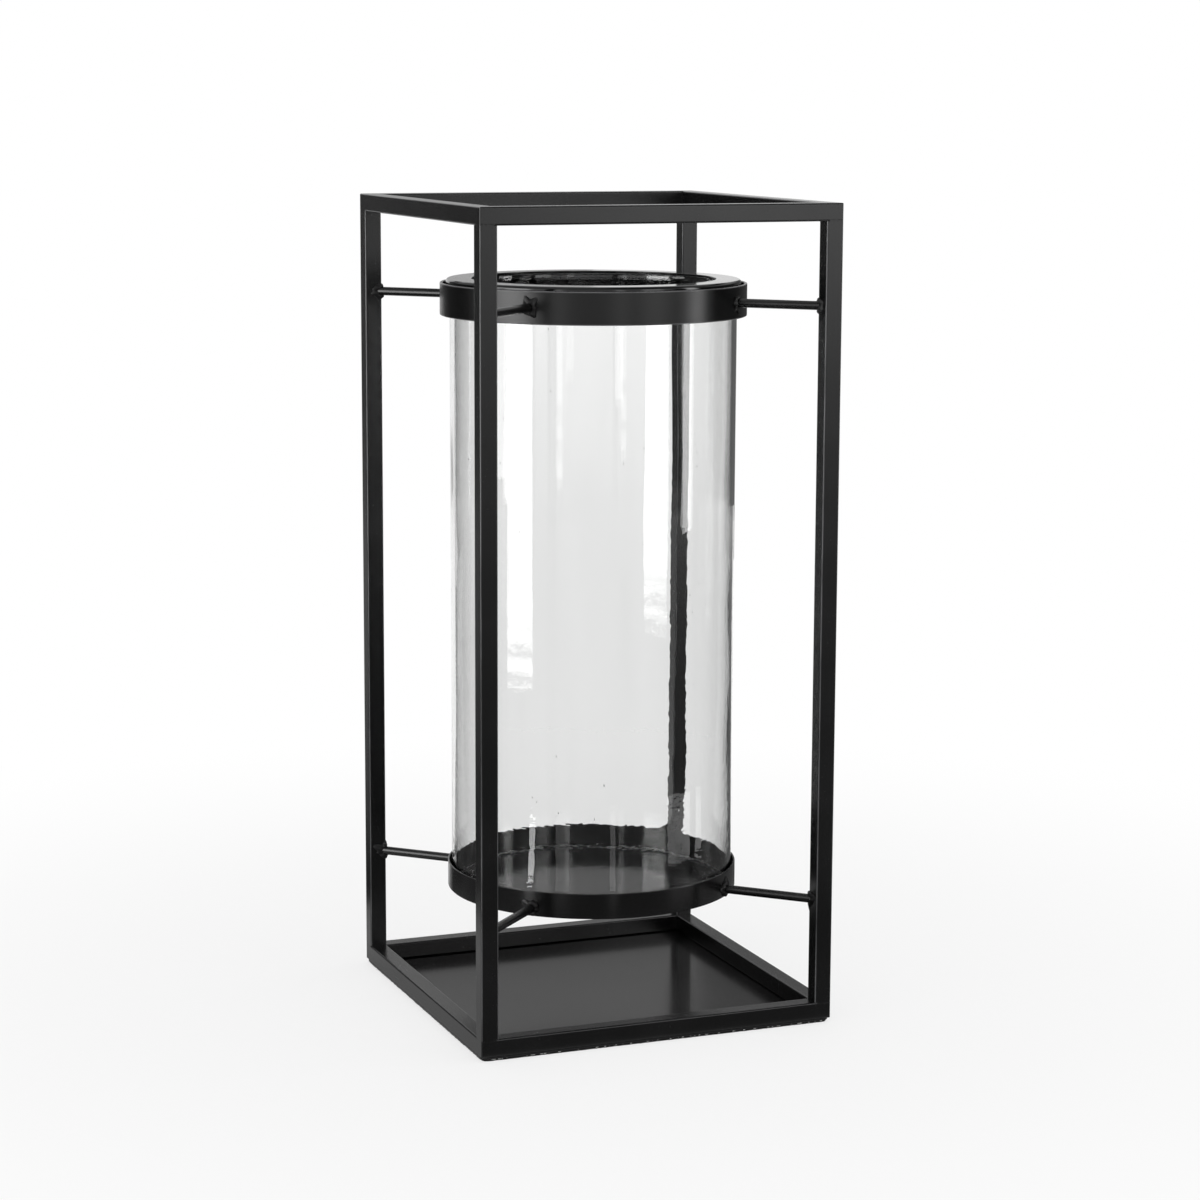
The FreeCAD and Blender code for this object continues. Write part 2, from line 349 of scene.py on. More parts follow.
glassLook = {
    "tint": (0.987, 0.988, 0.987, 1),
    "streak": (0.968, 0.970, 0.968, 1),
    "streakPerMetre": 42,
    "streakStretch": (1, 1, 0.08),
    "streakWhere": (0.45, 0.70),
    "ior": 1.5,
    "absorbed": (0.82, 0.823, 0.82, 1),
    "absorption": 84,  # per metre of glass
    "shadow": (0.93, 0.94, 0.94, 1),  # light that falls through
    "ripplePerMetre": 90,
    "rippleDepth": 0.00010,
    "chillStretch": (0.7, 0.7, 2.0),  # chill marks of the foot
    "chillLevels": (0.12, 0.20),  # they fade out between these heights
    "drawnStretch": (1, 1, 0.45),
    "drawnShare": 0.35,  # of the ripple, drawn out along the height
    "fineShare": 0.12,
    "finer": 2.4,
    "smoothRim": (0.20, 0.06),  # ripple dies out between these depths under the upper end
    "ground": (0.50, 0.51, 0.51, 1),  # ends of the chimney, cut and ground
    "groundPerMetre": 700,
    "groundWhere": (0.35, 0.65),
    "groundStrength": 0.5,
    "groundDepth": 0.00005,
    "groundRoughness": 0.6,
    "groundShare": 0.7,  # of the rounded end
    "columns": 224,
    "rows": 112,
    "rim": 0.00145,
    "rimSteps": 10,
    "waves": 30,
    "waveTurns": (2, 16),
    "wavePitch": 70,
    "waveFalloff": (9, 40),  # turns and pitch that halve a wave
    "waveSpread": 4,
    "waveDepth": 0.00018,
    "waveSeeds": (11, 12),  # outer and inner face
    "trueRim": (0.045, 0.13),  # waves start between these depths under the upper end
    "bubbles": 90,
    "bubbleSize": (0.00018, 0.00045),
    "bubbleFlat": 0.8,
    "bubbleDrawn": (1.2, 2.6),
    "bubbleOffset": 0.2,  # share of the wall, either way
    "bubbleMargin": 0.006,
    "bubbleSeed": 21,
}


def blownGlass():
    finish = Finish(bpy.data.materials.new("blownGlass"))
    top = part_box("glass_cylinder")[1].z
    where = finish.node("TexCoord", out="Object")
    level = finish.node("SeparateXYZ", None, {0: where}, out="Z")
    stretch = glassLook["streakStretch"]
    streaks = finish.noise(where, glassLook["streakPerMetre"], detail=3.0, stretch=stretch)
    streaked = finish.mask(streaks, *glassLook["streakWhere"])
    colour = finish.blend(streaked, glassLook["tint"], glassLook["streak"])
    pace = glassLook["ripplePerMetre"]
    drawn = finish.noise(where, pace, stretch=glassLook["drawnStretch"])
    chill = finish.noise(where, pace, stretch=glassLook["chillStretch"])
    fine = finish.noise(where, pace * glassLook["finer"], detail=1.0)
    foot = finish.fall(level, *glassLook["chillLevels"])
    rim = finish.fall(level, *[top - gap for gap in glassLook["smoothRim"]])
    ripple = drawn * glassLook["drawnShare"] + fine * glassLook["fineShare"]
    bump = finish.node("Bump", None, {
        "Strength": 1.0, "Distance": glassLook["rippleDepth"], "Height": chill * foot + ripple * rim,
    })
    solid = finish.node("BsdfPrincipled", None, {
        "Base Color": colour, "Roughness": 0.0, "IOR": glassLook["ior"],
        "Transmission Weight": 1.0, "Normal": bump,
    })
    clear = finish.node("BsdfTransparent", None, {"Color": glassLook["shadow"]})
    light = finish.node("LightPath", out="Is Shadow Ray")
    diffuse = Wire(light.socket.node.outputs["Is Diffuse Ray"])
    body = finish.node("VolumeAbsorption", None, {
        "Color": glassLook["absorbed"], "Density": glassLook["absorption"],
    })
    return finish.close(finish.node("MixShader", None, {0: light | diffuse, 1: solid, 2: clear}), body)


def groundGlass():
    finish = Finish(bpy.data.materials.new("groundGlass"))
    where = finish.node("TexCoord", out="Object")
    grain = finish.noise(where, glassLook["groundPerMetre"], detail=3.0)
    grained = finish.mask(grain, *glassLook["groundWhere"])
    colour = finish.blend(grained, glassLook["ground"], glassLook["streak"])
    bump = finish.node("Bump", None, {
        "Strength": glassLook["groundStrength"], "Distance": glassLook["groundDepth"], "Height": grain,
    })
    return finish.close(finish.node("BsdfPrincipled", None, {
        "Base Color": colour, "Roughness": glassLook["groundRoughness"],
        "IOR": glassLook["ior"], "Normal": bump,
    }))


feltLook = {
    "black": (0.0085, 0.0085, 0.0090, 1),
    "lint": (0.80, 0.80, 0.78, 1),
    "lintPerMetre": 640,
    "lintWhere": (0.60, 0.66),
    "lintLevels": (0.0007, 0.0010),  # lint gathers under the plate, above these heights
    "mattedPerMetre": 1400,
    "mattedStrength": 0.9,
    "mattedDepth": 0.0003,
    "roughness": 0.95,
    "sheen": 0.25,
    "sideGap": 0.00001,  # points this near belong to the straight side
    "edge": 0.0004,  # how far the cut edge wanders
    "fray": 0.00015,
    "around": 520,
    "trimSeed": 31,
    "layers": [  # share of the thickness, then inset of the edge there
        (0.0, 0.0012), (0.04, 0.0003), (0.35, 0.0), (0.7, 0.00005), (0.96, 0.0003), (1.0, 0.0012),
    ],
    "fibres": 900,
    "fibreLength": (0.0006, 0.0017),
    "fibreWidth": 0.00010,
    "fibreTaper": 0.7,
    "fibreRoot": 0.0004,  # how deep it starts in the edge
    "fibreLevels": (0.25, 0.95),  # shares of the thickness
    "fibreSway": (-1.6, 1.6),  # lean along the edge
    "fibreRise": (-0.5, 0.9),
    "fibreDroop": (0.0, 0.4),
    "fibreJoints": (0.0, 0.55, 1.0),
    "fibreLift": 0.00008,  # least height above the floor
    "fibreSeed": 32,
}


def pressedFelt(name):
    finish = Finish(bpy.data.materials.new(name))
    where = finish.node("TexCoord", out="Object")
    matted = finish.noise(where, feltLook["mattedPerMetre"], detail=4.0)
    level = finish.node("SeparateXYZ", None, {0: where}, out="Z")
    flecks = finish.noise(where, feltLook["lintPerMetre"], detail=0.0)
    high = 1 - finish.fall(level, *feltLook["lintLevels"])
    speck = finish.mask(flecks, *feltLook["lintWhere"]) * high
    colour = finish.blend(speck, feltLook["black"], feltLook["lint"])
    bump = finish.node("Bump", None, {
        "Strength": feltLook["mattedStrength"], "Distance": feltLook["mattedDepth"], "Height": matted,
    })
    return finish.close(finish.node("BsdfPrincipled", None, {
        "Base Color": colour, "Roughness": feltLook["roughness"],
        "Sheen Weight": feltLook["sheen"], "Normal": bump,
    }))


# posts, rails and ring get lighter edges: partly worn coat, partly a painted highlight
postPaint = satinPaint("postPaint", edges=tubeEdges("Z"))
railLook = {"edge": (0.02, 0.02, 0.021, 1)}  # rails get less edge wear and a fainter painted edge highlight than the posts
railPaint = {
    "front": satinPaint("longRailPaint", railLook, tubeEdges("X"), mitreSeam),
    "right": satinPaint("crossRailPaint", railLook, tubeEdges("Y"), mitreSeam),
}
railPaint["back"], railPaint["left"] = railPaint["front"], railPaint["right"]
rodPaint = satinPaint("rodPaint", {"smearPerMetre": 60})
ringPaint = satinPaint("ringPaint", {"roughness": 0.31, "smearPerMetre": 18}, bandEdges("upper_ring"))
collarPaint = satinPaint("collarPaint", {"roughness": 0.13, "roughnessSpread": 0.05, "smearPerMetre": 18})
trayPaint = satinPaint("trayPaint", {"roughness": 0.21, "smearPerMetre": 22})
floorPaint = satinPaint("floorPaint", {"roughness": 0.12, "roughnessSpread": 0.06, "smearPerMetre": 22})
platePaint = satinPaint("platePaint", {"roughness": 0.16, "smearPerMetre": 12, "lint": 0.25})
weldPaint = satinPaint("weldPaint", {
    "black": (0.0018, 0.0018, 0.0020, 1), "rubbed": (0.0036, 0.0036, 0.0038, 1),
    "roughness": 0.48, "peelPerMetre": 1600, "peelDepth": 0.00004,
})
print("finishes ready:", len(bpy.data.materials))


# Frame of tube, rods and sheet

for corner in cornerAngles:
    paintNode(f"post_{corner}", postPaint)
    paintNode(f"upper_rod_{corner}", rodPaint)
    paintNode(f"lower_rod_{corner}", rodPaint)
for side in sides:
    paintNode(f"top_rail_{side}", railPaint[side])
    paintNode(f"bottom_rail_{side}", railPaint[side])
paintNode("base_plate", platePaint)
paintNode("tray_floor", floorPaint)
print("frame painted")

jointLook = {
    "round": 0.0012,  # edge of the tube
    "dip": 0.00006,  # hollows left by the grinder
    "bury": 0.0004,
    "step": 0.0008,
    "arcSteps": 6,
    "inset": 0.7,  # of the round, where the weld starts on a face
    "section": [  # inwards in buries, upwards in rounds
        (-1, -0.15), (0, 0.04), (0, 0.5), (0, 0.96), (-1, 1.15), (-2, 0.5),
    ],
}


def dressedJoint(corner, level, upwards):
    # weld ground flush on the two outer faces of a corner, filling the groove between post and rail;
    # laid out at the back right corner, then turned to its own
    low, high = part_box(f"post_{corner}")
    grinder = random.Random(f"{corner} {level:.3f}")
    half = max(abs(low.x), abs(high.x))
    edge = jointLook["round"]
    inner = min(abs(low.x), abs(high.x)) + edge * jointLook["inset"]
    turn = math.radians(cornerAngles[corner] - cornerAngles["back_right"])
    path = [(half, inner, 1, 0)]
    straight = np.arange(inner, half - edge, jointLook["step"])[1:]
    path += [(half, along, 1, 0) for along in straight]
    for step in range(jointLook["arcSteps"] + 1):
        angle = math.pi / 2 * step / jointLook["arcSteps"]
        reach = (half - edge + edge * math.cos(angle), half - edge + edge * math.sin(angle))
        path.append((*reach, math.cos(angle), math.sin(angle)))
    path += [(along, half, 0, 1) for along in straight[::-1]]
    path.append((inner, half, 0, 1))
    bury = jointLook["bury"]
    section = [(out * bury, share) for out, share in jointLook["section"]]
    points = []
    for index, (x, y, outX, outY) in enumerate(path):
        ends = index in (0, len(path) - 1)
        dip = grinder.uniform(0, jointLook["dip"]) + (bury if ends else 0)
        for out, share in section:
            offset = out - (dip if out == 0 else 0)
            place = Vector((x + outX * offset, y + outY * offset, level + upwards * edge * share))
            points.append(Matrix.Rotation(turn, 4, "Z") @ place)
    count = len(section)
    faces = quads(len(path), count, closedRows=False)
    faces += [tuple(range(count))[::-1], tuple(range(len(points) - count, len(points)))]
    if upwards > 0:
        faces = [face[::-1] for face in faces]
    return meshPiece(f"dressed_joint_{'top' if upwards > 0 else 'bottom'}_{corner}", points, faces)


for corner in cornerAngles:
    low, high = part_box(f"post_{corner}")
    dress(dressedJoint(corner, high.z, 1), "frame", "black_paint", postPaint)
    dress(dressedJoint(corner, low.z, -1), "frame", "black_paint", postPaint)
print("corner welds dressed")

weldLook = {
    "bead": 0.0019,
    "foot": 0.2,  # of the bead, how far its middle stands off the rod
    "lump": 0.45,
    "lumpTurns": (2, 3, 5, 7, 11),
    "lumpSize": (0.3, 1),
    "lumpSpread": 3,
    "ripple": 0.16,
    "rippleTurns": (3, 5),  # across the bead and round the rod
    "around": 44,
    "sides": 10,
    "sharpAngle": 80,
    "tongues": (3, 4),  # spatter run out over the seat
    "tongueReach": (0.0022, 0.0040),
    "tongueWidth": 0.27,
    "tongueThin": 0.5,  # how much flatter the longest is
    "margin": 0.0004,  # kept free at the edges of the seat
    "sink": 0.0007,  # less than the wall under the bead
    "openRun": 1,  # a post goes on far above and below the bead
    "leastSlant": 0.01,  # keeps the room finite where the bead runs straight
}


def weldBead(seat, room, into, axis, rodRadius, level, torch):
    # lumpy bead round the end of a rod: seat gives its place along the axis at a sideways offset,
    # room how far it may run aside, down and up, and into which way along the axis the wall lies
    sideways = Vector((-axis.y, axis.x, 0))
    tongues = []
    for _ in range(torch.randint(*weldLook["tongues"])):
        tongues.append((torch.uniform(0, math.tau), torch.uniform(*weldLook["tongueReach"])))
    lumps = []
    for turns in weldLook["lumpTurns"]:
        lumps.append((turns, torch.uniform(0, math.tau), torch.uniform(*weldLook["lumpSize"])))
    stripes, twists = weldLook["rippleTurns"]
    aside, down, up = room
    count = weldLook["around"]
    points = []
    for index in range(count):
        angle = math.tau * index / count
        swell = sum(size * math.cos(turns * angle + phase) for turns, phase, size in lumps)
        bead = weldLook["bead"] * (1 + weldLook["lump"] * (swell / weldLook["lumpSpread"]))
        run = 0.0
        for centre, reach in tongues:
            away = abs((angle - centre + math.pi) % math.tau - math.pi)
            run = max(run, reach * math.exp(-(away / weldLook["tongueWidth"]) ** 2))
        outward = sideways * math.cos(angle) + Vector((0, 0, math.sin(angle)))
        upright = up if angle < math.pi else down
        farthest = min(
            aside / max(abs(math.cos(angle)), weldLook["leastSlant"]),
            upright / max(abs(math.sin(angle)), weldLook["leastSlant"]),
        )
        thinning = 1 - weldLook["tongueThin"] * run / weldLook["tongueReach"][1]
        for step in range(weldLook["sides"]):
            turn = math.tau * step / weldLook["sides"]
            ripple = 1 + weldLook["ripple"] * math.sin(stripes * turn + twists * angle + lumps[0][1])
            spread = bead * ripple + run * max(0, math.cos(turn))
            reach = rodRadius + bead * weldLook["foot"] + spread * math.cos(turn)
            rise = bead * ripple * math.sin(turn) * thinning
            place = outward * min(reach, farthest)
            along = seat(place.dot(sideways)) + into * min(rise * into, weldLook["sink"])
            points.append(axis * along + place + Vector((0, 0, level)))
    return points


def rodWelds(row, corner, seatNode):
    low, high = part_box(f"{row}_rod_{corner}")
    rodRadius = (high.z - low.z) / 2
    level = (high.z + low.z) / 2
    seatRadius = radii(seatNode)[1]
    postLow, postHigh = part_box(f"post_{corner}")
    notch = min(abs(postLow.x), abs(postHigh.x)) * math.sqrt(2)
    edge = jointLook["round"] * (math.sqrt(2) - 1)
    margin = weldLook["margin"]
    postAside = (postHigh.x - postLow.x - jointLook["round"]) / math.sqrt(2) - margin
    postRoom = (postAside, weldLook["openRun"], weldLook["openRun"])
    seatLow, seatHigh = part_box(seatNode)
    seatRoom = (seatRadius, level - seatLow.z - margin, seatHigh.z - level - margin)
    angle = math.radians(cornerAngles[corner])
    axis = Vector((math.cos(angle), math.sin(angle), 0))
    torch = random.Random(f"{row} {corner}")
    rod = (axis, rodRadius, level, torch)
    inner = weldBead(lambda off: math.sqrt(seatRadius ** 2 - off ** 2), seatRoom, -1, *rod)
    outer = weldBead(lambda off: notch + math.hypot(off, edge), postRoom, 1, *rod)
    faces = quads(weldLook["around"], weldLook["sides"])
    faces += quads(weldLook["around"], weldLook["sides"], len(inner))
    faces = [face[::-1] for face in faces]
    return meshPiece(f"rod_welds_{row}_{corner}", inner + outer, faces, weldLook["sharpAngle"])


for corner in cornerAngles:
    dress(rodWelds("upper", corner, "upper_ring"), "frame", "black_paint", weldPaint)
    dress(rodWelds("lower", corner, "tray_rim"), "frame", "black_paint", weldPaint)
print("rod ends welded")


# Ring, tray rim and collar, turned with eased edges

turnedLook = {
    "columns": 240,
    "ringEase": 0.0006,
    "ringWander": 0.00022,
    "ringSeed": 3,
    "rimEase": 0.0005,
    "rimWander": 0.00020,
    "rimSeed": 4,
    "collarShoulder": 0.0022,
    "collarEdge": 0.0006,
    "collarSteps": 7,
    "collarWander": 0.00012,
    "collarSeed": 5,
    "skirtFoot": 0.001,  # the skirt is measured over this height
}


def band(name, node, kind):
    # plain rolled band: the ring or the wall of the tray
    low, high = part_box(node)
    inner, outer = radii(node)
    ease, wander, seed = (turnedLook[kind + value] for value in ("Ease", "Wander", "Seed"))
    corners = [(inner, low.z, ease), (outer, low.z, ease), (outer, high.z, ease), (inner, high.z, ease)]
    return lathe(name, easedOutline(corners), turnedLook["columns"], wander, seed)


def pressedCollar():
    low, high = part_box("retaining_collar")
    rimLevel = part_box("glass_cylinder")[1].z
    hole, outer = radii("retaining_collar")
    skirt = radii("retaining_collar", low.z + turnedLook["skirtFoot"])[0]
    shoulder, edge = turnedLook["collarShoulder"], turnedLook["collarEdge"]
    corners = [
        (skirt, low.z, edge), (outer, low.z, edge), (outer, high.z, shoulder),
        (hole, high.z, edge), (hole, rimLevel, edge), (skirt, rimLevel, edge),
    ]
    return lathe(
        "collar_pressing", easedOutline(corners, turnedLook["collarSteps"]),
        turnedLook["columns"], turnedLook["collarWander"], turnedLook["collarSeed"],
    )


dress(band("ring_band", "upper_ring", "ring"), "frame", "black_paint", ringPaint, "upper_ring")
dress(band("tray_wall", "tray_rim", "rim"), "frame", "black_paint", trayPaint, "tray_rim")
dress(pressedCollar(), "collar", "black_paint", collarPaint, "retaining_collar")
print("ring, tray and collar turned")


# Glass chimney

def glassWaves(angles, levels, seed):
    # slow swells drawn out along the height, from 0 to 1
    blower = random.Random(seed)
    total = np.zeros((len(levels), len(angles)))
    weight = 0.0
    halfTurns, halfPitch = glassLook["waveFalloff"]
    for _ in range(glassLook["waves"]):
        turns = blower.randint(*glassLook["waveTurns"])
        pitch = blower.uniform(-1, 1) * glassLook["wavePitch"]
        size = blower.uniform(leastSwell, 1) / (1 + turns / halfTurns + abs(pitch) / halfPitch)
        phase = blower.uniform(0, math.tau)
        total += size * np.cos(turns * angles[None, :] + pitch * levels[:, None] + phase)
        weight += size * size / 2
    return np.clip(0.5 + total / (glassLook["waveSpread"] * math.sqrt(weight)), 0, 1)


def airBubbles(inner, outer, low, high):
    # air caught in the wall, drawn out upright; the faces look into the bubble
    bubble = bmesh.new()
    bmesh.ops.create_icosphere(bubble, subdivisions=2, radius=1)
    shape = [vertex.co.copy() for vertex in bubble.verts]
    shell = [tuple(vertex.index for vertex in face.verts)[::-1] for face in bubble.faces]
    bubble.free()
    blower = random.Random(glassLook["bubbleSeed"])
    margin, offset = glassLook["bubbleMargin"], glassLook["bubbleOffset"]
    points, faces = [], []
    for _ in range(glassLook["bubbles"]):
        size = blower.uniform(*glassLook["bubbleSize"])
        angle = blower.uniform(0, math.tau)
        lift = Vector((0, 0, blower.uniform(low + margin, high - margin)))
        reach = (inner + outer) / 2 + blower.uniform(-offset, offset) * (outer - inner)
        centre = Vector((reach, 0, 0))
        turn = Matrix.Rotation(angle, 3, "Z")
        tall = size * blower.uniform(*glassLook["bubbleDrawn"])
        drawn = Vector((size * glassLook["bubbleFlat"], size, tall))
        first = len(points)
        points += [turn @ (centre + corner * drawn) + lift for corner in shape]
        faces += [tuple(first + index for index in face) for face in shell]
    return points, faces


def roundedEnd(start, stop, level, rim):
    # rings of the half round from one face of the glass to the other
    middle, half = (start + stop) / 2, (start - stop) / 2
    turns = np.linspace(0, math.pi, glassLook["rimSteps"])[1:-1]
    return [(middle + half * math.cos(turn), level + rim * math.sin(turn)) for turn in turns]


def glassChimney():
    low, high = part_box("glass_cylinder")
    inner, outer = radii("glass_cylinder")
    rim, columns, rows = glassLook["rim"], glassLook["columns"], glassLook["rows"]
    angles = np.arange(columns) * math.tau / columns
    levels = np.linspace(low.z + rim, high.z - rim, rows)
    shallow, deep = glassLook["trueRim"]
    share = np.clip((high.z - levels - shallow) / (deep - shallow), 0, 1)
    depth = glassLook["waveDepth"] * share[:, None]
    outerSeed, innerSeed = glassLook["waveSeeds"]
    outside = outer - depth * glassWaves(angles, levels, outerSeed)
    inside = inner + depth * glassWaves(angles, levels, innerSeed)
    rings = list(zip(outside, levels))
    rings += roundedEnd(outside[-1], inside[-1], levels[-1], rim)
    rings += list(zip(inside, levels))[::-1]
    rings += roundedEnd(inside[0], outside[0], levels[0], -rim)
    points = []
    for reach, level in rings:
        points += list(zip(reach * np.cos(angles), reach * np.sin(angles), np.full(columns, level)))
    faces = quads(len(rings), columns)
    bubblePoints, bubbleFaces = airBubbles(inner, outer, low.z, high.z)
    faces += [tuple(len(points) + index for index in face) for face in bubbleFaces]
    chimney = meshPiece("glass_chimney", points + bubblePoints, faces, sharpAngle=180)
    ground = rim * glassLook["groundShare"]
    for face in chimney.data.polygons:
        cut = face.center.z < low.z + ground or face.center.z > high.z - ground
        face.material_index = 1 if cut else 0
    return chimney


chimney = glassChimney()
dress(chimney, "glass", "clear_glass", blownGlass(), "glass_cylinder")
chimney.data.materials.append(groundGlass())
print("glass drawn")


# Felt under the base plate

def feltOutline(half, corner, count, trimmer):
    # rounded square with a slightly wandering cut edge
    straight = 2 * (half - corner)
    quarter = math.pi / 2 * corner
    around = 4 * (straight + quarter)
    outline = []
    for index in range(count):
        side, along = divmod(around * index / count, straight + quarter)
        if along < straight:
            place, out = Vector((half, along - straight / 2, 0)), Vector((1, 0, 0))
        else:
            angle = (along - straight) / corner
            out = Vector((math.cos(angle), math.sin(angle), 0))
            place = Vector((half - corner, half - corner, 0)) + out * corner
        turn = Matrix.Rotation(side * math.pi / 2, 3, "Z")
        outline.append((turn @ (place - out * trimmer.uniform(0, feltLook["edge"])), turn @ out))
    return outline


def feltPad():
    low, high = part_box("base_felt")
    trimmer = random.Random(feltLook["trimSeed"])
    side = high.x - feltLook["sideGap"]
    corner = high.x - max(v.co.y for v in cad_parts["base_felt"].data.vertices if v.co.x > side)
    outline = feltOutline(high.x, corner, feltLook["around"], trimmer)
    thick = high.z - low.z
    layers = feltLook["layers"]
    points = []
    for share, inset in layers:
        for place, out in outline:
            fray = trimmer.uniform(0, feltLook["fray"])
            points.append(place - out * (inset + fray) + Vector((0, 0, low.z + share * thick)))
    count = len(outline)
    faces = quads(len(layers), count, closedRows=False)
    points += [Vector((0, 0, low.z)), Vector((0, 0, high.z))]
    top = (len(layers) - 1) * count
    for index in range(count):
        after = (index + 1) % count
        faces.append((after, index, len(points) - 2))
        faces.append((top + index, top + after, len(points) - 1))
    return meshPiece("felt_pad", points, faces), outline, low.z, thick


def feltFibres(outline, low, thick):
    # loose hairs along the cut edge, each a tapered bent sliver of three sides
    comb = random.Random(feltLook["fibreSeed"])
    points, faces = [], []
    for _ in range(feltLook["fibres"]):
        place, out = comb.choice(outline)
        along = Vector((-out.y, out.x, 0))
        length = comb.uniform(*feltLook["fibreLength"])
        sway = along * comb.uniform(*feltLook["fibreSway"])
        rise = Vector((0, 0, comb.uniform(*feltLook["fibreRise"])))
        lean = (out + sway + rise).normalized()
        level = low + thick * comb.uniform(*feltLook["fibreLevels"])
        root = place - out * feltLook["fibreRoot"] + Vector((0, 0, level))
        bend = Vector((0, 0, -1)) * length * comb.uniform(*feltLook["fibreDroop"])
        first = len(points)
        for share in feltLook["fibreJoints"]:
            spot = root + lean * length * share + bend * share * share
            spot.z = max(spot.z, low + feltLook["fibreLift"])
            width = feltLook["fibreWidth"] * (1 - feltLook["fibreTaper"] * share)
            for turn in range(3):
                angle = math.tau * turn / 3
                upwards = Vector((0, 0, width * math.sin(angle)))
                points.append(spot + along * width * math.cos(angle) + upwards)
        last = len(points) - 3
        faces += quads(len(feltLook["fibreJoints"]), 3, first, closedRows=False)
        faces += [(first, first + 2, first + 1), (last, last + 1, last + 2)]
    return meshPiece("felt_fibres", points, faces, sharpAngle=180)


felt, feltEdge, feltLow, feltThick = feltPad()
dress(felt, "frame", "black_felt", pressedFelt("pressedFelt"), "base_felt")
fibres = feltFibres(feltEdge, feltLow, feltThick)
dress(fibres, "frame", "black_felt", pressedFelt("feltLint"))
print("felt laid")


# Camera

cameraView = {
    "place": (-0.7716, -1.9582, 0.6333),
    "yaw": 21.652,  # degrees
    "pitch": 9.491,
    "roll": 0.232,
    "lens": 92.07,  # millimetres
    "sensor": 36,
}


def setCamera():
    view = bpy.data.objects.new("view", bpy.data.cameras.new("view"))
    view.data.lens = cameraView["lens"]
    view.data.sensor_width = cameraView["sensor"]
    turn = Matrix.Rotation(-math.radians(cameraView["yaw"]), 4, "Z")
    tilt = Matrix.Rotation(math.radians(90 - cameraView["pitch"]), 4, "X")
    level = Matrix.Rotation(math.radians(cameraView["roll"]), 4, "Z")
    view.matrix_world = Matrix.Translation(cameraView["place"]) @ turn @ tilt @ level
    bpy.context.scene.collection.objects.link(view)
    bpy.context.scene.camera = view


setCamera()
print("camera placed")


# Studio: white sweep, soft overhead lamp, bright panels and dark screens that only reflections see

studioLook = {
    "floorRadius": 6.0,
    "floorColour": (0.86, 0.86, 0.86, 1),
    "shadowShare": 0.28,  # how much of the lit floor shows near the lantern
    "fadeFrom": 0.25,
    "fadeTo": 0.90,
    "fill": 0.60,  # strength of the world for soft light
    "white": (1, 1, 1, 1),
    "lampSize": 2.0,
    "lampPlace": (0.1, -0.3, 2.1),
    "lampRadiance": 1.45,
    "cardSteps": 48,
    "cardLevels": (0.0003, 0.0006, 0.0009),  # floor cards, strips, and what the glass mirrors
    "bounces": (0.4, 0.6),  # tells one bounce or more from none
    "ceiling": 2.3,
    "ceilingHalf": 2.7,
    "ceilingGlow": 0.6,
    "screen": (0.1, 2.0, -2.0, 0.0),  # dark part of the ceiling: left, right, front, back
    "screenDrop": 0.02,
    "screenGlow": 0.03,
    "apronGap": 0.010,  # dark floor before the front rail
    "apronHalf": 0.45,
    "apronDepth": 0.25,
    "apronGlow": [(0.0, 0.18), (0.6, 0.14)],
}

# upright cards: azimuths from the front in degrees, distance, then glow at rising heights in metres
litTop = [(1.4, 0.55), (2.3, 0.60)]
uprightCards = {
    "front_wall": ((-42, 42), 2.7, [(0.0, 0.20), (0.20, 0.40), (0.40, 0.85), (2.3, 0.60)]),
    "left_front_wall": ((-72, -42), 2.7, [(0.0, 0.20), (0.15, 0.70), (0.30, 1.30), (2.3, 1.0)]),
    "right_wall": ((42, 120), 2.7, [(0.0, 0.03), (0.9, 0.03), *litTop]),
    "rear_right_screen": ((118, 148), 2.6, [(0.0, 0.12), (1.0, 0.12), (1.5, 0.55), (2.3, 0.60)]),
    "left_wall": ((-138, -72), 2.7, [(0.0, 0.03), (0.9, 0.03), *litTop]),
    "rear_left_wall": ((-160, -138), 2.7, [(0.0, 0.05), (0.9, 0.05), *litTop]),
    "far_left_wall": ((-169.5, -160), 2.7, [(0.0, 0.14), (0.9, 0.11), *litTop]),
    "rear_screen": ((158.5, 172), 2.6, [(0.58, 0.50), (1.0, 0.60)]),
    "backdrop_low": ((152.6, 172), 1.0, [
        (0.16, 0.33), (0.285, 0.35), (0.345, 0.46), (0.40, 0.42), (0.46, 0.60),
    ]),
    "backdrop_dark": ((140, 152.4), 1.0, [(0.16, 0.18), (0.40, 0.20), (0.46, 0.60)]),
    "left_window": ((-91.5, -69.4), 1.25, [
        (0.006, 4.0), (0.012, 0.6), (0.021, 0.6), (0.025, 5.0), (0.036, 5.0), (0.040, 0.8),
        (0.050, 0.8), (0.054, 5.0), (0.062, 5.0), (0.066, 3.0), (0.072, 3.0), (0.076, 5.0), (0.9, 6.0),
    ]),
    "right_window": ((53.5, 62), 1.9, [(0.08, 5.0), (1.4, 5.6)]),
    "front_panel": ((16, 33), 2.1, [(0.05, 0.30), (0.20, 0.50), (0.34, 1.1), (0.45, 2.2), (1.4, 3.0)]),
    "front_slit": ((-4.6, 1.6), 2.1, [(0.23, 2.2), (1.2, 2.6)]),
    "left_slit": ((-50.5, -45.5), 2.1, [
        (0.12, 2.4), (0.15, 2.4), (0.155, 0.9), (0.165, 0.9), (0.17, 2.4),
        (0.20, 2.4), (0.205, 0.9), (0.215, 0.9), (0.22, 2.4), (1.2, 2.6),
    ]),
}

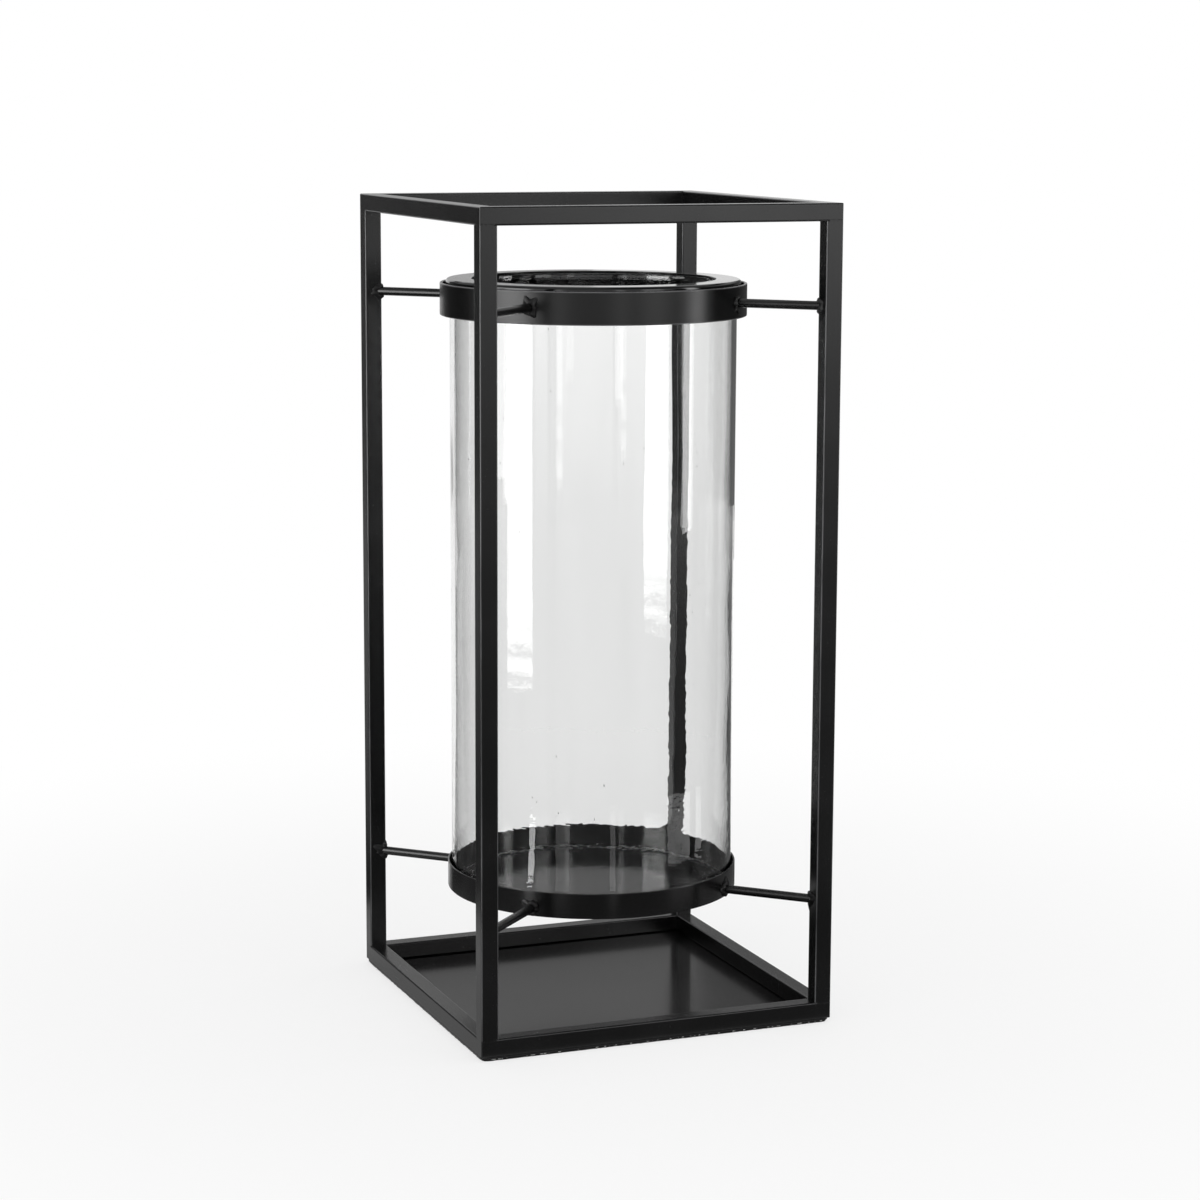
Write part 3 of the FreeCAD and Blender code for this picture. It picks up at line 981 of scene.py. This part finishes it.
# floor cards: azimuths, nearest and farthest edge, then glow at growing reach
floorCards = {
    "table_card": ((0, 360), 0.01, 0.33, [(0.01, 0.41), (0.17, 0.41), (0.23, 0.54), (0.33, 0.50)]),
    "front_floor": ((-135, 136), 0.33, 2.7, [(0.33, 0.12), (1.3, 0.20), (2.7, 0.38)]),
    "left_rear_floor": ((-157.3, -135), 0.33, 2.7, [(0.33, 0.05), (0.9, 0.09), (2.7, 0.11)]),
    "left_floor": ((-166, -157.3), 0.33, 2.7, [(0.33, 0.31), (2.7, 0.31)]),
}

# bright strips on the floor, a little above it
floorStrips = {
    "left_strip": ((-69, -64.5), 0.48, 0.70, [(0.48, 9.0), (0.70, 7.0)]),
    "left_front_strip": ((-50, -38), 0.46, 0.74, [(0.46, 0.9), (0.74, 0.9)]),
    "front_strip": ((-8, -4), 0.46, 0.74, [(0.46, 1.3), (0.74, 1.3)]),
    "right_patch": ((38, 73), 0.52, 0.78, [(0.52, 1.8), (0.78, 1.8)]),
}

# what only the first faces mirror, not the far side of the glass
outerWalls = {
    "left_high_window": ((-107, -94), 1.7, [(0.17, 4.0), (1.2, 4.5)]),
    "right_glow": ((62, 68), 1.9, [(0.08, 2.6), (1.4, 2.8)]),
}

# what the inner faces of the glass mirror
glassGlow = [(0.0, 0.35), (0.10, 0.80), (0.26, 1.25), (0.37, 1.4), (0.41, 0.20), (2.2, 0.12)]
glassWalls = {
    "glass_wall": ((-91, 44), 2.65, glassGlow),
    "left_glass_wall": ((-140, -104), 2.65, glassGlow),
}
glassFloors = {
    "glass_floor": ((-140, 136), 0.40, 2.65, [(0.40, 0.03), (1.5, 0.05), (2.2, 0.15), (2.65, 0.35)]),
}


def showsBackground(finish):
    # 1 for the rays that see the white background
    camera = finish.node("LightPath", out="Is Camera Ray")
    path = camera.socket.node.outputs
    return camera | Wire(path["Is Glossy Ray"]) | Wire(path["Is Transmission Ray"])


def sweepFinish():
    finish = Finish(bpy.data.materials.new("paleSweep"))
    where = finish.node("TexCoord", out="Object")
    reach = finish.node("VectorMath", {"operation": "LENGTH"}, {0: where}, out="Value")
    fade = finish.node("MapRange", {"interpolation_type": "SMOOTHSTEP"}, {
        "Value": reach, "From Min": studioLook["fadeFrom"], "From Max": studioLook["fadeTo"],
        "To Min": 1 - studioLook["shadowShare"], "To Max": 1.0,
    })
    lit = finish.node("BsdfDiffuse", None, {"Color": studioLook["floorColour"]})
    plain = finish.node("Emission", None, {"Color": studioLook["white"], "Strength": 1.0})
    shown = showsBackground(finish) * fade
    return finish.close(finish.node("MixShader", None, {0: shown, 1: lit, 2: plain}))


def cardFinish(name, along, stops, seen):
    # glow that changes with height or reach, only for what a gloss or glass mirrors
    finish = Finish(bpy.data.materials.new(name))
    where = finish.node("TexCoord", out="Object")
    if along == "height":
        place = finish.node("SeparateXYZ", None, {0: where}, out="Z")
    else:
        place = finish.node("VectorMath", {"operation": "LENGTH"}, {0: where}, out="Value")
    first, span = stops[0][0], stops[-1][0] - stops[0][0]
    top = max(glow for _, glow in stops)
    ramp = {"stops": [((level - first) / span, glow / top) for level, glow in stops]}
    shade = finish.node("ValToRGB", ramp, {"Fac": (place - first) / span})
    glow = finish.node("Emission", None, {"Color": shade, "Strength": top})
    light = finish.node("LightPath", out="Glossy Depth")
    mirrored = finish.mask(light, *studioLook["bounces"])
    if seen != "both":
        depth = Wire(light.socket.node.outputs["Transmission Depth"])
        inside = finish.mask(depth, *studioLook["bounces"])
        mirrored = mirrored * (inside if seen == "inside" else 1 - inside)
    unseen = finish.node("BsdfTransparent")
    return finish.close(finish.node("MixShader", None, {0: mirrored, 1: unseen, 2: glow}))


def reflectedOnly(card, along, stops, seen="both"):
    card.data.materials.append(cardFinish(card.name, along, stops, seen))
    card.visible_camera = False
    card.visible_diffuse = False
    card.visible_shadow = False


def aroundPoint(azimuth, reach, level):
    # azimuth grows from the front to the right
    angle = math.radians(azimuth)
    return (reach * math.sin(angle), -reach * math.cos(angle), level)


def curvedCard(name, azimuths, inner, outer, low, high):
    # upright where the two reaches agree, flat where the two levels do
    steps = studioLook["cardSteps"]
    points = []
    for azimuth in np.linspace(*azimuths, steps + 1):
        points += [aroundPoint(azimuth, inner, low), aroundPoint(azimuth, outer, high)]
    faces = [(2 * step, 2 * step + 2, 2 * step + 3, 2 * step + 1) for step in range(steps)]
    return meshPiece(name, points, faces)


def flatCard(name, left, right, front, back, level):
    corners = [(left, front, level), (right, front, level), (right, back, level), (left, back, level)]
    return meshPiece(name, corners, [(0, 1, 2, 3)])


def setStudio():
    radius = studioLook["floorRadius"]
    sweep = flatCard("sweep", -radius, radius, -radius, radius, 0.0)
    sweep.data.materials.append(sweepFinish())
    for cards, seen in ((uprightCards, "both"), (outerWalls, "outside"), (glassWalls, "inside")):
        for name, (azimuths, reach, stops) in cards.items():
            card = curvedCard(name, azimuths, reach, reach, stops[0][0], stops[-1][0])
            reflectedOnly(card, "height", stops, seen)
    cardLevel, stripLevel, glassLevel = studioLook["cardLevels"]
    for cards, level, seen in (
        (floorCards, cardLevel, "both"),
        (floorStrips, stripLevel, "both"),
        (glassFloors, glassLevel, "inside"),
    ):
        for name, (azimuths, inner, outer, stops) in cards.items():
            card = curvedCard(name, azimuths, inner, outer, level, level)
            reflectedOnly(card, "reach", stops, seen)
    high, half = studioLook["ceiling"], studioLook["ceilingHalf"]
    ceiling = flatCard("ceiling_card", -half, half, -half, half, high)
    reflectedOnly(ceiling, "height", [(level, studioLook["ceilingGlow"]) for level in (0.0, high)])
    screen = flatCard("ceiling_screen", *studioLook["screen"], high - studioLook["screenDrop"])
    reflectedOnly(screen, "height", [(level, studioLook["screenGlow"]) for level in (0.0, high)])
    half, near = studioLook["apronHalf"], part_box("bottom_rail_front")[0].y - studioLook["apronGap"]
    apron = flatCard("front_apron", -half, half, near - studioLook["apronDepth"], near, stripLevel)
    reflectedOnly(apron, "reach", studioLook["apronGlow"])


def setLamp():
    size = studioLook["lampSize"]
    lamp = bpy.data.objects.new("overhead_box", bpy.data.lights.new("overhead_box", "AREA"))
    lamp.data.shape = "SQUARE"
    lamp.data.size = size
    lamp.data.energy = studioLook["lampRadiance"] * math.pi * size * size
    lamp.location = studioLook["lampPlace"]
    lamp.visible_camera = False
    lamp.visible_transmission = False
    lamp.visible_glossy = False
    bpy.context.scene.collection.objects.link(lamp)


def setWorld():
    world = bpy.data.worlds.new("studio")
    bpy.context.scene.world = world
    finish = Finish(world)
    strength = studioLook["fill"] + showsBackground(finish) * (1 - studioLook["fill"])
    finish.close(finish.node("Background", None, {"Color": studioLook["white"], "Strength": strength}))


setStudio()
setLamp()
setWorld()
bpy.context.scene.view_settings.view_transform = "Standard"
print("studio set")
